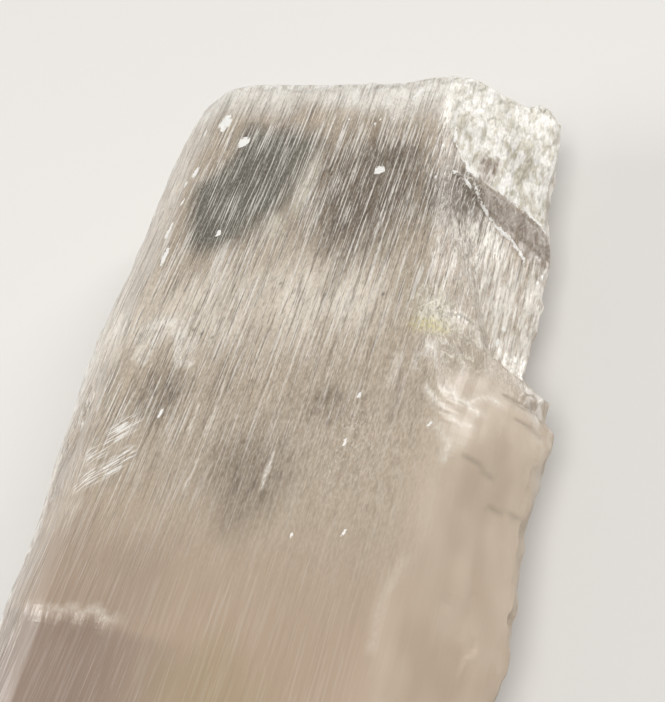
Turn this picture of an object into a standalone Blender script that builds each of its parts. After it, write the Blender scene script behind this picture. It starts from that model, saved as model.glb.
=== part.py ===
"""A kunzite crystal (gem spodumene): a flat, striated blade that lies on its back face.

Y is the crystal's long axis, from the broken base at -Y to the termination at +Y. X is its width and
Z its thickness. The front and back faces are flat, and sloping prism faces run from them down to a
narrow band at each margin. The blade starts as a box that is divided into a lattice, and each point
of the lattice is then moved to its place on the crystal.

Sizes are in millimetres until the mesh is made. Along the crystal, "upper" is toward the termination.
"""

import bmesh
import bpy
import numpy as np

MM = 0.001

# Overall size.
THICKNESS = 14.0
BASE_END = -44.0
UPPER_END = 46.0
BAND_TOP = 7.3
BAND_BOTTOM = 5.0
BAND_BULGE = 0.5
BAND_UNEVENNESS = 0.7
BAND_WAVE = 3.0
FRONT_BEVEL_WIDTH = 8.6
BACK_BEVEL_WIDTH = 6.5

# The left prism face rolls over into the front as a shoulder, and the right one meets it in an edge.
SHOULDER_POWER = 1.5
EDGE_SOFTNESS = 0.14
CORNER_REACH = 3.0
CORNER_STEPS = 7

# The margins in plan: the distance along the crystal, then the offset from its middle line.
LEFT_MARGIN = (
    (-44, -17.6),
    (-28, -18.1),
    (-15, -18.9),
    (-12, -19.5),
    (-9.5, -19.1),
    (-7, -19.3),
    (-4, -20.1),
    (0, -20.8),
    (4, -21.4),
    (8, -21.6),
    (11, -22.1),
    (16, -22.8),
    (19, -22.7),
    (26, -22.7),
    (31, -23.1),
    (44, -23.7),
)
RIGHT_MARGIN = (
    (-44, 21.8),
    (-30, 23.2),
    (-12, 24.1),
    (-8.5, 24.5),
    (-6, 24.2),
    (-4, 24.5),
    (-2.4, 24.3),
    (-0.8, 23.8),
    (1.5, 23.4),
    (4.0, 23.9),
    (6.5, 24.0),
    (9.0, 24.5),
    (10.6, 24.6),
    (11.6, 23.5),
    (13.5, 23.8),
    (15.0, 21.4),
    (16.2, 20.9),
    (18.4, 21.1),
    (20.5, 21.0),
    (24.5, 21.4),
    (26.8, 20.9),
    (28.7, 21.2),
    (30.7, 21.2),
    (33.0, 20.3),
    (34.8, 19.7),
    (37.4, 19.7),
    (41.5, 20.0),
    (46.0, 19.4),
)
# The right prism face reaches further in on the upper half.
RIGHT_EDGE = ((-44, 17.4), (-10, 18.4), (6, 18.0), (12, 15.6), (17, 13.2), (30, 11.6), (46, 8.8))

# The two ends in plan: the offset from the middle line, then the distance along the crystal.
UPPER_EDGE = (
    (-23.7, 40.5),
    (-21.6, 43.4),
    (-19.1, 44.8),
    (-18.0, 45.1),
    (-16.2, 45.3),
    (-14.7, 45.6),
    (-12.5, 46.1),
    (0.0, 46.1),
    (1.0, 46.4),
    (2.3, 46.0),
    (3.8, 46.2),
    (7.3, 47.1),
    (8.5, 47.3),
    (9.7, 48.0),
    (10.8, 48.6),
    (11.9, 48.5),
    (13.1, 48.2),
    (14.3, 47.9),
    (15.5, 47.9),
    (16.6, 47.7),
    (17.7, 48.8),
    (18.6, 48.7),
    (19.3, 47.8),
    (19.6, 47.2),
)
BASE_EDGE = (
    (-18.2, -38.6),
    (-16.4, -40.9),
    (-15.3, -40.3),
    (-13.4, -43.7),
    (-11.0, -44.4),
    (-8.2, -43.1),
    (-6.6, -45.2),
    (-3.8, -46.3),
    (-1.4, -43.9),
    (1.6, -44.8),
    (4.2, -46.6),
    (7.6, -45.3),
    (9.4, -42.5),
    (12.4, -43.3),
    (15.2, -40.5),
    (18.6, -39.7),
    (21.8, -36.6),
)
UPPER_UNDERCUT = 2.0
UPPER_PITTING = 0.5
UPPER_PIT_WIDTH = 2.4
BASE_SLANT = 3.0
BASE_SPLINTERS = 0.9
BASE_SPLINTER_WIDTH = 2.2
EDGE_ROUNDING = 0.8

# The right side's ledges: the offset from the middle line, then where the ledge lies along the crystal.
# Between them the prism face has broken away to a lower level. The lower ledge starts as a soft slope
# and grows steep toward the margin: the offset, then the slope's width.
UPPER_LEDGE = ((10.5, 40.0), (12.9, 36.2), (14.0, 35.0), (16.2, 34.6), (18.2, 33.7), (21.5, 32.0))
LOWER_LEDGE = (
    (11.5, 30.0),
    (13.5, 26.0),
    (15.9, 21.4),
    (17.4, 18.8),
    (18.5, 15.9),
    (20.1, 15.3),
    (24.0, 14.2),
)
UPPER_LEDGE_WIDTH = 2.2
LOWER_LEDGE_WIDTHS = ((11.5, 3.5), (16.0, 2.4), (17.6, 0.9), (24.0, 0.9))
LEDGE_SLOPE_REACH = 0.5
HOLLOW_DEPTH = 1.6
HOLLOW_START = 10.8
HOLLOW_FULL = 15.0
FIBRE_HEIGHT = 0.3
FIBRE_PITCH = 1.1

# The growth step that crosses the left prism face onto the front.
LEFT_STEP_PLACE = -14.0
LEFT_STEP_DEPTH = 0.2
LEFT_STEP_WIDTH = 1.4
LEFT_STEP_RAGGEDNESS = 0.4
LEFT_STEP_PITCH = 1.6
LEFT_STEP_START = -16.0
LEFT_STEP_END = -2.8
LEFT_STEP_FADE = 4.0

# The growth ridges of the front, each fading in and out along its length.
RIDGE_HEIGHT = 0.2
RIDGE_PITCH = 1.7
RIDGE_WIDTH = 3.0
RIDGE_LENGTH = 16.0

# The small stairs of the prism faces, and their broad swells.
STAIR_HEIGHT = 0.4
STAIR_PITCH = 2.1
SWELL_HEIGHT = 0.15
SWELL_WIDTH = 9.0
SWELL_LENGTH = 14.0

# The grooves of the back, which stay off the strip that the crystal rests on.
BACK_GROOVE_DEPTH = 0.5
BACK_GROOVE_PITCH = 2.6
BACK_GROOVE_LEVEL = 0.25
BACK_GROOVE_WIDTH = 5.0
BACK_GROOVE_LENGTH = 22.0
BACK_GROOVE_SHARE = 0.3
REST_HALF_WIDTH = 4.0
REST_FADE = 2.0

# Pits and scoops in the front: offset, place along the crystal, half width, half length, depth.
PITS = (
    (-14.3, 39.6, 1.2, 1.9, 0.3),
    (-11.2, 36.9, 1.0, 1.3, 0.25),
    (5.1, 33.4, 1.0, 1.1, 0.25),
    (-17.0, 2.5, 2.3, 5.2, 0.6),
    (14.9, 37.3, 0.9, 1.9, 0.25),
    (21.6, -9.0, 1.8, 3.4, 0.4),
)
# Lumps on the front, in the same form.
LUMPS = (
    (23.1, 12.8, 1.2, 1.1, 0.8),
    (20.6, 5.0, 3.4, 5.5, 0.8),
    (17.6, 41.0, 1.8, 4.6, 0.8),
    (12.6, 41.5, 1.6, 3.6, 0.5),
)

# The lattice. Its rows are closer together on the upper half, and slant along the two ledges. A column
# lies at its share of the way across: the margins, the bevel edges and the straight middle.
COLUMNS = 54
ROWS = 48
LAYERS = 4
COLUMN_STOPS = (0.0, 0.18, 0.29, 0.60, 0.70, 1.0)
STRAIGHT_HALF_WIDTH = 8.0
FINE_ROWS_FROM = 6.0
FINE_ROWS_SHARE = 0.62
SLANT = 0.5
SLANT_FROM = 13.0
SLANT_FULL_ROW = 35.0
BASE_REACH = 20.0
UPPER_REACH = 14.0

NOISE_KNOTS = 256


def along(points, place):
    """The second value of a line of points at a place given by the first."""
    first, second = zip(*points)
    return np.interp(place, first, second)


def rounded(points, place):
    """The same as along, with the corners of the line rounded off."""
    shifts = np.linspace(-CORNER_REACH, CORNER_REACH, CORNER_STEPS)
    return sum(along(points, place + shift) for shift in shifts) / CORNER_STEPS


def smooth(share):
    """Rises from 0 to 1 with soft ends as share goes from 0 to 1."""
    share = np.clip(share, 0.0, 1.0)
    return share * share * (3.0 - 2.0 * share)


def soft_positive(value, radius):
    """The value where it is above 0, and 0 below, with the corner between them rounded."""
    return 0.5 * (value + np.sqrt(value * value + radius * radius))


def noise(place, pitch, seed):
    """Straight-line noise between -1 and 1 with one random level each pitch."""
    levels = np.random.default_rng(seed).uniform(-1.0, 1.0, NOISE_KNOTS)
    return np.interp(place / pitch + NOISE_KNOTS / 2, np.arange(NOISE_KNOTS), levels)


def noise_2d(x, y, pitch_x, pitch_y, seed):
    """Smooth noise over a plane, between -1 and 1."""
    levels = np.random.default_rng(seed).uniform(-1.0, 1.0, (NOISE_KNOTS, NOISE_KNOTS))
    across = x / pitch_x + NOISE_KNOTS / 2
    up = y / pitch_y + NOISE_KNOTS / 2
    column = np.floor(across).astype(int)
    row = np.floor(up).astype(int)
    tx = smooth(across - column)
    ty = smooth(up - row)
    near = levels[column, row] * (1 - tx) + levels[column + 1, row] * tx
    far = levels[column, row + 1] * (1 - tx) + levels[column + 1, row + 1] * tx
    return near * (1 - ty) + far * ty


def left_edge(y):
    return rounded(LEFT_MARGIN, y) + FRONT_BEVEL_WIDTH


def right_edge(y):
    return rounded(RIGHT_EDGE, y)


def bevel_share(x, y):
    """0 on the flat front, rising to 1 at either margin."""
    left = (left_edge(y) - x) / (left_edge(y) - rounded(LEFT_MARGIN, y))
    right = (x - right_edge(y)) / (rounded(RIGHT_MARGIN, y) - right_edge(y))
    left = np.clip(left, 0.0, 1.05) ** SHOULDER_POWER
    return np.maximum(left, np.clip(soft_positive(right, EDGE_SOFTNESS), 0.0, 1.05))


def end_rounding(x, y):
    """How far the front and back faces draw in close to the two ends."""
    to_upper = np.maximum(along(UPPER_EDGE, x) - y, 0.0)
    to_base = np.maximum(y - along(BASE_EDGE, x), 0.0)
    inside = np.clip(1.0 - np.minimum(to_upper, to_base) / EDGE_ROUNDING, 0.0, 1.0)
    return EDGE_ROUNDING * (1.0 - np.sqrt(1.0 - 0.9 * inside * inside))


def bumps(x, y, places):
    """The sum of round bumps, each as tall as its last number."""
    total = np.zeros_like(x)
    for place_x, place_y, half_width, half_length, height in places:
        away = np.hypot((x - place_x) / half_width, (y - place_y) / half_length)
        total += height * (1.0 - smooth(away))
    return total


def ridges(x, y):
    fading = 0.6 + 0.4 * noise_2d(x, y, RIDGE_WIDTH, RIDGE_LENGTH, seed=11)
    return RIDGE_HEIGHT * noise(x, RIDGE_PITCH, seed=7) * fading


def past_ledge(x, y, ledge):
    """The distance of a point from a ledge's line, above 0 on its upper side."""
    rise = along(ledge, x + LEDGE_SLOPE_REACH) - along(ledge, x - LEDGE_SLOPE_REACH)
    return (y - along(ledge, x)) / np.hypot(1.0, rise / (2.0 * LEDGE_SLOPE_REACH))


def hollow(x, y):
    """The broken-away, fibrous stretch of the right prism face, between its two ledges."""
    below_upper_ledge = smooth(-past_ledge(x, y, UPPER_LEDGE) / UPPER_LEDGE_WIDTH)
    above_lower_ledge = smooth(past_ledge(x, y, LOWER_LEDGE) / along(LOWER_LEDGE_WIDTHS, x))
    toward_margin = smooth((x - HOLLOW_START) / (HOLLOW_FULL - HOLLOW_START))
    fibres = FIBRE_HEIGHT * noise(x, FIBRE_PITCH, seed=17)
    return (HOLLOW_DEPTH + fibres) * below_upper_ledge * above_lower_ledge * toward_margin


def left_step(x, y):
    """A jagged growth step from the left prism face onto the front: the base side lies lower."""
    jagged = LEFT_STEP_PLACE + LEFT_STEP_RAGGEDNESS * noise(x, LEFT_STEP_PITCH, seed=23)
    reach = smooth((LEFT_STEP_END - x) / LEFT_STEP_FADE) * smooth((x - LEFT_STEP_START) / LEFT_STEP_FADE)
    fading = smooth((y - BASE_END) / BASE_REACH)
    return LEFT_STEP_DEPTH * smooth((jagged - y) / LEFT_STEP_WIDTH) * reach * fading


def front_height(x, y):
    share = bevel_share(x, y)
    on_prism_face = smooth(share * 4.0) * (1.0 - smooth(share))
    height = THICKNESS - (THICKNESS - BAND_TOP) * share
    height += STAIR_HEIGHT * noise(x, STAIR_PITCH, seed=3) * on_prism_face
    height += ridges(x, y) + bumps(x, y, LUMPS) - bumps(x, y, PITS)
    height += SWELL_HEIGHT * noise_2d(x, y, SWELL_WIDTH, SWELL_LENGTH, seed=31) * smooth(share * 3.0)
    return height - hollow(x, y) - left_step(x, y) - end_rounding(x, y)


def back_height(x, y):
    left_inner = along(LEFT_MARGIN, y) + BACK_BEVEL_WIDTH
    right_inner = along(RIGHT_MARGIN, y) - BACK_BEVEL_WIDTH
    share = np.clip(np.maximum(left_inner - x, x - right_inner) / BACK_BEVEL_WIDTH, 0.0, 1.0)
    groove = np.maximum(noise(x, BACK_GROOVE_PITCH, seed=41) - BACK_GROOVE_LEVEL, 0.0)
    coming_and_going = noise_2d(x, y, BACK_GROOVE_WIDTH, BACK_GROOVE_LENGTH, seed=43)
    groove *= np.maximum(coming_and_going + BACK_GROOVE_SHARE, 0.0)
    groove *= smooth((np.abs(x) - REST_HALF_WIDTH) / REST_FADE)
    return BAND_BOTTOM * share + BACK_GROOVE_DEPTH * groove + end_rounding(x, y)


def end_shapes(x, down):
    """Where the base and the upper end lie, at an offset and a share of the way down."""
    base = along(BASE_EDGE, x) + BASE_SLANT * (down - 0.5)
    base += BASE_SPLINTERS * noise_2d(x, down, BASE_SPLINTER_WIDTH, 0.25, seed=53)
    upper = along(UPPER_EDGE, x) - UPPER_UNDERCUT * down * down
    upper += UPPER_PITTING * noise_2d(x, down, UPPER_PIT_WIDTH, 0.3, seed=59) * smooth(down * 4.0)
    return base, upper


def across(share, y):
    """The offset of a lattice column: straight down the middle, and fitted to the margins outside."""
    places = (
        along(LEFT_MARGIN, y),
        left_edge(y),
        np.full_like(y, -STRAIGHT_HALF_WIDTH),
        np.full_like(y, STRAIGHT_HALF_WIDTH),
        right_edge(y),
        along(RIGHT_MARGIN, y),
    )
    x = places[0]
    for start, stop, near, far in zip(COLUMN_STOPS, COLUMN_STOPS[1:], places, places[1:]):
        part = np.clip((share - start) / (stop - start), 0.0, 1.0)
        x = x + part * (far - near)
    return x


def place(share_x, share_y, share_z):
    """Moves the points of the unit lattice to their places on the crystal."""
    row = np.interp(share_y, (0.0, 1.0 - FINE_ROWS_SHARE, 1.0), (BASE_END, FINE_ROWS_FROM, UPPER_END))
    slanting = smooth((row - FINE_ROWS_FROM) / (SLANT_FULL_ROW - FINE_ROWS_FROM))
    slanting *= smooth((UPPER_END - row) / (UPPER_END - SLANT_FULL_ROW))
    beyond = soft_positive(across(share_x, row) - SLANT_FROM, 1.0)
    row_here = row - SLANT * slanting * beyond
    x = across(share_x, row_here)
    down = 1.0 - share_z
    base, upper = end_shapes(x, down)
    to_base = smooth(1.0 - (row - BASE_END) / BASE_REACH)
    to_upper = smooth(1.0 - (UPPER_END - row) / UPPER_REACH)
    y = row_here + to_base * (base - BASE_END) + to_upper * (upper - UPPER_END)
    low = back_height(x, y)
    high = front_height(x, y)
    z = low + share_z * (high - low)
    unevenness = 1.0 + BAND_UNEVENNESS * noise_2d(y, share_z, BAND_WAVE, 0.3, seed=61)
    bulge = BAND_BULGE * 4.0 * share_z * down * unevenness
    outward = np.where(share_x > 0.999, 1.0, 0.0) - np.where(share_x < 0.001, 1.0, 0.0)
    return np.column_stack((x + bulge * outward, y, z))


def spans(edge, axis):
    """Whether an edge of the unit box runs its whole length along an axis."""
    start, end = (vert.co[axis] for vert in edge.verts)
    return abs(end - start) > 0.9


def divided_box(columns, rows, layers):
    """A unit box whose faces are divided into a lattice, from 0 to 1 along each axis."""
    box = bmesh.new()
    bmesh.ops.create_cube(box, size=1.0)
    bmesh.ops.translate(box, verts=box.verts, vec=(0.5, 0.5, 0.5))
    for axis, parts in enumerate((columns, rows, layers)):
        lengthwise = [edge for edge in box.edges if spans(edge, axis)]
        bmesh.ops.subdivide_edges(box, edges=lengthwise, cuts=parts - 1, use_grid_fill=True)
    return box


def crystal_material():
    material = bpy.data.materials.new("kunzite")
    material.use_nodes = True
    shader = material.node_tree.nodes["Principled BSDF"]
    shader.inputs["Base Color"].default_value = (0.62, 0.47, 0.40, 1.0)
    shader.inputs["Roughness"].default_value = 0.3
    shader.inputs["Metallic"].default_value = 0.0
    shader.inputs["IOR"].default_value = 1.66
    return material


def build_crystal(collection):
    box = divided_box(COLUMNS, ROWS, LAYERS)
    mesh = bpy.data.meshes.new("crystal")
    box.to_mesh(mesh)
    box.free()
    lattice = np.empty(len(mesh.vertices) * 3)
    mesh.vertices.foreach_get("co", lattice)
    points = place(*lattice.reshape(-1, 3).T)
    low, high = points.min(axis=0), points.max(axis=0)
    middle = (low + high) / 2.0
    points -= (middle[0], middle[1], low[2])
    print("crystal", np.round(high - low, 2), "mm, moved by", np.round(middle, 3), "lowest", round(low[2], 4))
    mesh.vertices.foreach_set("co", (points * MM).ravel())
    mesh.update()
    crystal = bpy.data.objects.new("crystal", mesh)
    crystal.data.materials.append(crystal_material())
    collection.objects.link(crystal)
    return crystal


def main():
    for old in list(bpy.data.objects):
        bpy.data.objects.remove(old)
    collection = bpy.data.collections.new("kunzite_crystal")
    bpy.context.scene.collection.children.link(collection)
    build_crystal(collection)


main()
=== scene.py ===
# %% [markdown]
# # A kunzite crystal
#
# Kunzite is the pink gem form of spodumene. It grows as flat blades with a broad front and back face,
# sloping prism faces at the sides, and fine grooves, called striations, along the whole length. This
# blade lies on its back face. Its right side has broken away between two ledges, and its lower end is
# a splintered break.
#
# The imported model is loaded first. It is the frame that everything here is fitted to.

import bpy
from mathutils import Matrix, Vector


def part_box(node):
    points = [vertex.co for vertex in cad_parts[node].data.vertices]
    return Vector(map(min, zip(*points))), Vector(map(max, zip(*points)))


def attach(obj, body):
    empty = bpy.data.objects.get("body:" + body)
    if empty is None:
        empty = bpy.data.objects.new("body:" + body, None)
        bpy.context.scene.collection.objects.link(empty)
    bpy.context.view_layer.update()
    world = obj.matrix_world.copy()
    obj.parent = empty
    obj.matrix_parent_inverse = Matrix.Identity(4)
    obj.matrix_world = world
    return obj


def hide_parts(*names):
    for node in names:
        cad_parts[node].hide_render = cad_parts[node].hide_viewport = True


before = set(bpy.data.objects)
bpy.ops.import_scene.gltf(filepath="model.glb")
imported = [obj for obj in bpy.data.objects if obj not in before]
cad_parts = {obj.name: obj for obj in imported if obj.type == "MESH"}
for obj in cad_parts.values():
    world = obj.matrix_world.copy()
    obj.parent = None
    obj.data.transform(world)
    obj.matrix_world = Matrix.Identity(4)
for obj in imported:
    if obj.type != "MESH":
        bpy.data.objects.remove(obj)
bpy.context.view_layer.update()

# %% [markdown]
# The crystal is worked out in millimetres, with Y along its length, X across and Z up. A few helpers
# do most of the work: a line through given points, a soft step, and two kinds of seeded noise.

# %% Helpers for shapes
import math

import bmesh
import bpy
import numpy as np
from mathutils import Matrix, Vector

MM = 0.001
NOISE_KNOTS = 512
CORNER_REACH = 3.0
CORNER_STEPS = 7


def along(points, place):
    """The second value of a line of points at a place given by the first."""
    first, second = zip(*points)
    return np.interp(place, first, second)


def rounded(points, place):
    """The same as along, with the corners of the line rounded off."""
    shifts = np.linspace(-CORNER_REACH, CORNER_REACH, CORNER_STEPS)
    return sum(along(points, place + shift) for shift in shifts) / CORNER_STEPS


def smooth(share):
    """Rises from 0 to 1 with soft ends as share goes from 0 to 1."""
    share = np.clip(share, 0.0, 1.0)
    return share * share * (3.0 - 2.0 * share)


def soft_positive(value, radius):
    """The value where it is above 0, and 0 below, with the corner between them rounded."""
    return 0.5 * (value + np.sqrt(value * value + radius * radius))


def noise(place, pitch, seed):
    """Straight-line noise between -1 and 1 with one random level each pitch."""
    levels = np.random.default_rng(seed).uniform(-1.0, 1.0, NOISE_KNOTS)
    return np.interp(place / pitch + NOISE_KNOTS / 2, np.arange(NOISE_KNOTS), levels)


def waves(place, sizes):
    """Several kinds of straight-line noise added up, each with a height, a pitch and a seed."""
    return sum(height * noise(place, pitch, seed) for height, pitch, seed in sizes)


def noise_2d(x, y, pitch_x, pitch_y, seed):
    """Smooth noise over a plane, between -1 and 1."""
    levels = np.random.default_rng(seed).uniform(-1.0, 1.0, (NOISE_KNOTS, NOISE_KNOTS))
    across = x / pitch_x + NOISE_KNOTS / 2
    up = y / pitch_y + NOISE_KNOTS / 2
    column = np.floor(across).astype(int)
    row = np.floor(up).astype(int)
    tx = smooth(across - column)
    ty = smooth(up - row)
    next_column, next_row = (column + 1) % NOISE_KNOTS, (row + 1) % NOISE_KNOTS
    column, row = column % NOISE_KNOTS, row % NOISE_KNOTS
    near = levels[column, row] * (1 - tx) + levels[next_column, row] * tx
    far = levels[column, next_row] * (1 - tx) + levels[next_column, next_row] * tx
    return near * (1 - ty) + far * ty


print("a soft step a quarter, half and three quarters of the way:", smooth(np.array([0.25, 0.5, 0.75])))

# %% [markdown]
# ## The outline
#
# The blade widens slowly from its base up to the lower ledge. There the right margin steps in, because
# a slab of the prism face has broken away. These are the same sizes as the solid's, so that the fine
# crystal fills the same space.

# %% Sizes and outline
THICKNESS = 14.0
BASE_END = -44.0
UPPER_END = 46.0
BAND_TOP = 7.3
BAND_BOTTOM = 5.0
BAND_BULGE = 0.5
FRONT_BEVEL_WIDTH = 8.6
BACK_BEVEL_WIDTH = 6.5

LEFT_MARGIN = (
    (-44, -17.6),
    (-28, -18.1),
    (-15, -18.9),
    (-12, -19.5),
    (-9.5, -19.1),
    (-7, -19.3),
    (-4, -20.1),
    (0, -20.8),
    (4, -21.4),
    (8, -21.6),
    (11, -22.1),
    (16, -22.8),
    (19, -22.7),
    (26, -22.7),
    (31, -23.1),
    (44, -23.7),
)
RIGHT_MARGIN = (
    (-44, 21.8),
    (-30, 23.2),
    (-12, 24.1),
    (-8.5, 24.5),
    (-6, 24.2),
    (-4, 24.5),
    (-2.4, 24.3),
    (-0.8, 23.8),
    (1.5, 23.4),
    (4.0, 23.9),
    (6.5, 24.0),
    (9.0, 24.5),
    (10.6, 24.6),
    (11.6, 23.5),
    (13.5, 23.8),
    (15.0, 21.4),
    (16.2, 20.9),
    (18.4, 21.1),
    (20.5, 21.0),
    (24.5, 21.4),
    (26.8, 20.9),
    (28.7, 21.2),
    (30.7, 21.2),
    (33.0, 20.3),
    (34.8, 19.7),
    (37.4, 19.7),
    (41.5, 20.0),
    (46.0, 19.4),
)
RIGHT_EDGE = ((-44, 17.4), (-10, 18.4), (6, 18.0), (12, 15.6), (17, 13.2), (30, 11.6), (46, 8.8))
UPPER_EDGE = (
    (-23.7, 40.5),
    (-21.6, 43.4),
    (-19.1, 44.8),
    (-18.0, 45.1),
    (-16.2, 45.3),
    (-14.7, 45.6),
    (-12.5, 46.1),
    (-4.1, 46.0),
    (-3.8, 45.6),
    (-3.4, 46.0),
    (0.0, 46.1),
    (1.0, 46.4),
    (2.3, 46.0),
    (3.8, 46.2),
    (4.1, 46.2),
    (4.4, 45.9),
    (4.8, 46.3),
    (7.3, 47.1),
    (8.5, 47.3),
    (9.7, 48.0),
    (10.8, 48.6),
    (11.9, 48.5),
    (13.1, 48.2),
    (14.3, 47.9),
    (15.5, 47.9),
    (16.6, 47.7),
    (17.7, 48.8),
    (18.6, 48.7),
    (19.3, 47.8),
    (19.6, 47.2),
)
BASE_EDGE = (
    (-18.2, -38.6),
    (-16.4, -40.9),
    (-15.3, -40.3),
    (-13.4, -43.7),
    (-11.0, -44.4),
    (-8.2, -43.1),
    (-6.6, -45.2),
    (-3.8, -46.3),
    (-1.4, -43.9),
    (1.6, -44.8),
    (4.2, -46.6),
    (7.6, -45.3),
    (9.4, -42.5),
    (12.4, -43.3),
    (15.2, -40.5),
    (18.6, -39.7),
    (21.8, -36.6),
)
UPPER_UNDERCUT = 2.0
BASE_SLANT = 3.0
BASE_SPLINTERS = 0.9
BASE_TEETH = 0.5
BASE_FIBRES = 0.35
UPPER_PITTING = 0.5
UPPER_TEETH = 0.16
UPPER_FIBRES = 0.12
EDGE_ROUNDING = 0.8
EDGE_SOFTNESS = 0.14
SHOULDER_POWER = 1.5


def left_edge(y):
    return rounded(LEFT_MARGIN, y) + FRONT_BEVEL_WIDTH


def right_edge(y):
    return rounded(RIGHT_EDGE, y)


for y_here in (BASE_END, 0.0, UPPER_END):
    width_here = along(RIGHT_MARGIN, y_here) - along(LEFT_MARGIN, y_here)
    print("width at", y_here, "mm:", round(float(width_here), 1), "mm")

# %% [markdown]
# ## Ledges, steps and pits
#
# Between two ledges the right prism face lies lower and shows rough fibres. A jagged growth step
# crosses the left prism face. Small pits and lumps are round bumps that are added or taken away.

# %% Ledges, steps and pits
UPPER_LEDGE = ((10.5, 40.0), (12.9, 36.2), (14.0, 35.0), (16.2, 34.6), (18.2, 33.7), (21.5, 32.0))
LOWER_LEDGE = (
    (11.5, 30.0),
    (13.5, 26.0),
    (15.9, 21.4),
    (17.4, 18.8),
    (18.5, 15.9),
    (20.1, 15.3),
    (24.0, 14.2),
)
LEDGE_WAVES = ((0.12, 0.9, 73), (0.06, 0.35, 74))
UPPER_LEDGE_WIDTH = 2.2
LOWER_LEDGE_WIDTHS = ((11.5, 3.5), (16.0, 2.4), (17.6, 0.7), (24.0, 0.7))
HOLLOW_DEPTH = 1.6
HOLLOW_START = 10.8
HOLLOW_FULL = 15.0
FIBRE_HEIGHT = 0.2
FINE_FIBRE_HEIGHT = 0.12
LEFT_STEP = (
    (-15.1, -13.4),
    (-11.6, -14.3),
    (-9.3, -14.4),
    (-7.4, -14.2),
    (-6.1, -13.8),
    (-4.7, -14.3),
    (-3.4, -14.4),
)
LEFT_STEP_WAVES = ((0.2, 0.6, 23), (0.12, 0.25, 24))
LEFT_STEP_DEPTH = 0.2
LEFT_STEP_START = -14.5
LEFT_STEP_END = -2.8
UPPER_BLOCK_EDGE = ((33.0, 12.0), (38.0, 10.4), (46.0, 8.6))
LINE_RAGGEDNESS = 0.18
LINE_RAG_PITCH = (0.5, 0.7)

CHIPS = (
    (-14.3, 39.9, 0.85, 1.9, 0.16),
    (-11.0, 36.9, 0.75, 1.1, 0.13),
    (-15.2, 32.6, 0.5, 1.0, 0.1),
    (-9.4, 24.5, 0.45, 0.55, 0.1),
    (-16.1, 31.3, 0.35, 0.6, 0.08),
    (-15.2, 28.6, 0.35, 0.8, 0.08),
    (-15.4, 24.6, 0.45, 1.6, 0.1),
    (-14.2, 21.3, 0.35, 1.8, 0.08),
    (-16.8, 39.0, 0.35, 0.9, 0.08),
    (5.1, 33.5, 0.75, 0.85, 0.12),
)
PITS = (
    (-17.0, 2.5, 2.3, 5.2, 0.6),
    (14.9, 37.3, 0.8, 1.9, 0.25),
    (21.6, -9.0, 1.8, 3.4, 0.4),
)
LUMPS = (
    (23.1, 12.8, 1.2, 1.1, 0.8),
    (20.6, 5.0, 3.4, 5.5, 0.8),
    (17.6, 41.0, 1.8, 4.6, 0.8),
    (12.6, 41.5, 1.6, 3.6, 0.5),
)


def bumps(x, y, places, raggedness=0.25):
    """The sum of round bumps, each as tall as its last number."""
    total = np.zeros_like(x)
    for place_x, place_y, half_width, half_length, height in places:
        away = np.hypot((x - place_x) / half_width, (y - place_y) / half_length)
        ragged = away + raggedness * noise_2d(x, y, 0.35 * half_width, 0.35 * half_length, seed=71)
        total += height * (1.0 - smooth(ragged))
    return total


def past_ledge(x, y, ledge):
    """The distance of a point from a ledge's line, above 0 on its upper side."""
    slope = along(ledge, x + 0.5) - along(ledge, x - 0.5)
    return (y - along(ledge, x) - waves(x, LEDGE_WAVES)) / np.hypot(1.0, slope)


def from_line(x, y, points):
    """The distance of each place from a bent line, in millimetres."""
    nearest = np.full_like(x, 1000.0)
    for (start_x, start_y), (end_x, end_y) in zip(points, points[1:]):
        run_x = end_x - start_x
        run_y = end_y - start_y
        share = ((x - start_x) * run_x + (y - start_y) * run_y) / (run_x**2 + run_y**2)
        share = np.clip(share, 0.0, 1.0)
        nearest = np.minimum(nearest, np.hypot(x - start_x - share * run_x, y - start_y - share * run_y))
    return nearest


def line_share(x, y, points, half_width):
    """1 on a bent line, falling to 0 at half its width, with a slightly ragged course."""
    ragged_x = x + LINE_RAGGEDNESS * noise_2d(x, y, *LINE_RAG_PITCH, seed=75)
    ragged_y = y + LINE_RAGGEDNESS * noise_2d(x, y, *LINE_RAG_PITCH, seed=76)
    return smooth(1.0 - from_line(ragged_x, ragged_y, points) / half_width)


def hollow_share(x, y):
    """1 in the broken-away stretch of the right prism face, and 0 outside it."""
    below_upper_ledge = smooth(-past_ledge(x, y, UPPER_LEDGE) / UPPER_LEDGE_WIDTH)
    above_lower_ledge = smooth(past_ledge(x, y, LOWER_LEDGE) / along(LOWER_LEDGE_WIDTHS, x))
    toward_margin = smooth((x - HOLLOW_START) / (HOLLOW_FULL - HOLLOW_START))
    return below_upper_ledge * above_lower_ledge * toward_margin


def upper_block(x, y):
    """1 on the frosty block above the upper ledge, and 0 outside it."""
    above_ledge = smooth(past_ledge(x, y, UPPER_LEDGE) / 0.5 + 0.5)
    return smooth((x - along(UPPER_BLOCK_EDGE, y)) / 1.4) * above_ledge


def lower_block(x, y):
    """1 on the smooth shoulder below the lower ledge, and 0 outside it."""
    return smooth((x - 14.5) / 5.0) * smooth((14.5 - y) / 4.0)


def left_step_line(x):
    return along(LEFT_STEP, x) + waves(x, LEFT_STEP_WAVES)


def left_step(x, y):
    """A jagged growth step from the left margin onto the front: the base side lies lower."""
    reach = smooth((LEFT_STEP_END - x) / 4.0) * smooth((x - LEFT_STEP_START) / 3.0)
    drop = smooth((left_step_line(x) - y) / 1.4) * smooth((y - BASE_END) / 20.0)
    return LEFT_STEP_DEPTH * drop * reach


print("round bumps:", len(CHIPS), "chips,", len(PITS), "pits,", len(LUMPS), "lumps")

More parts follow.
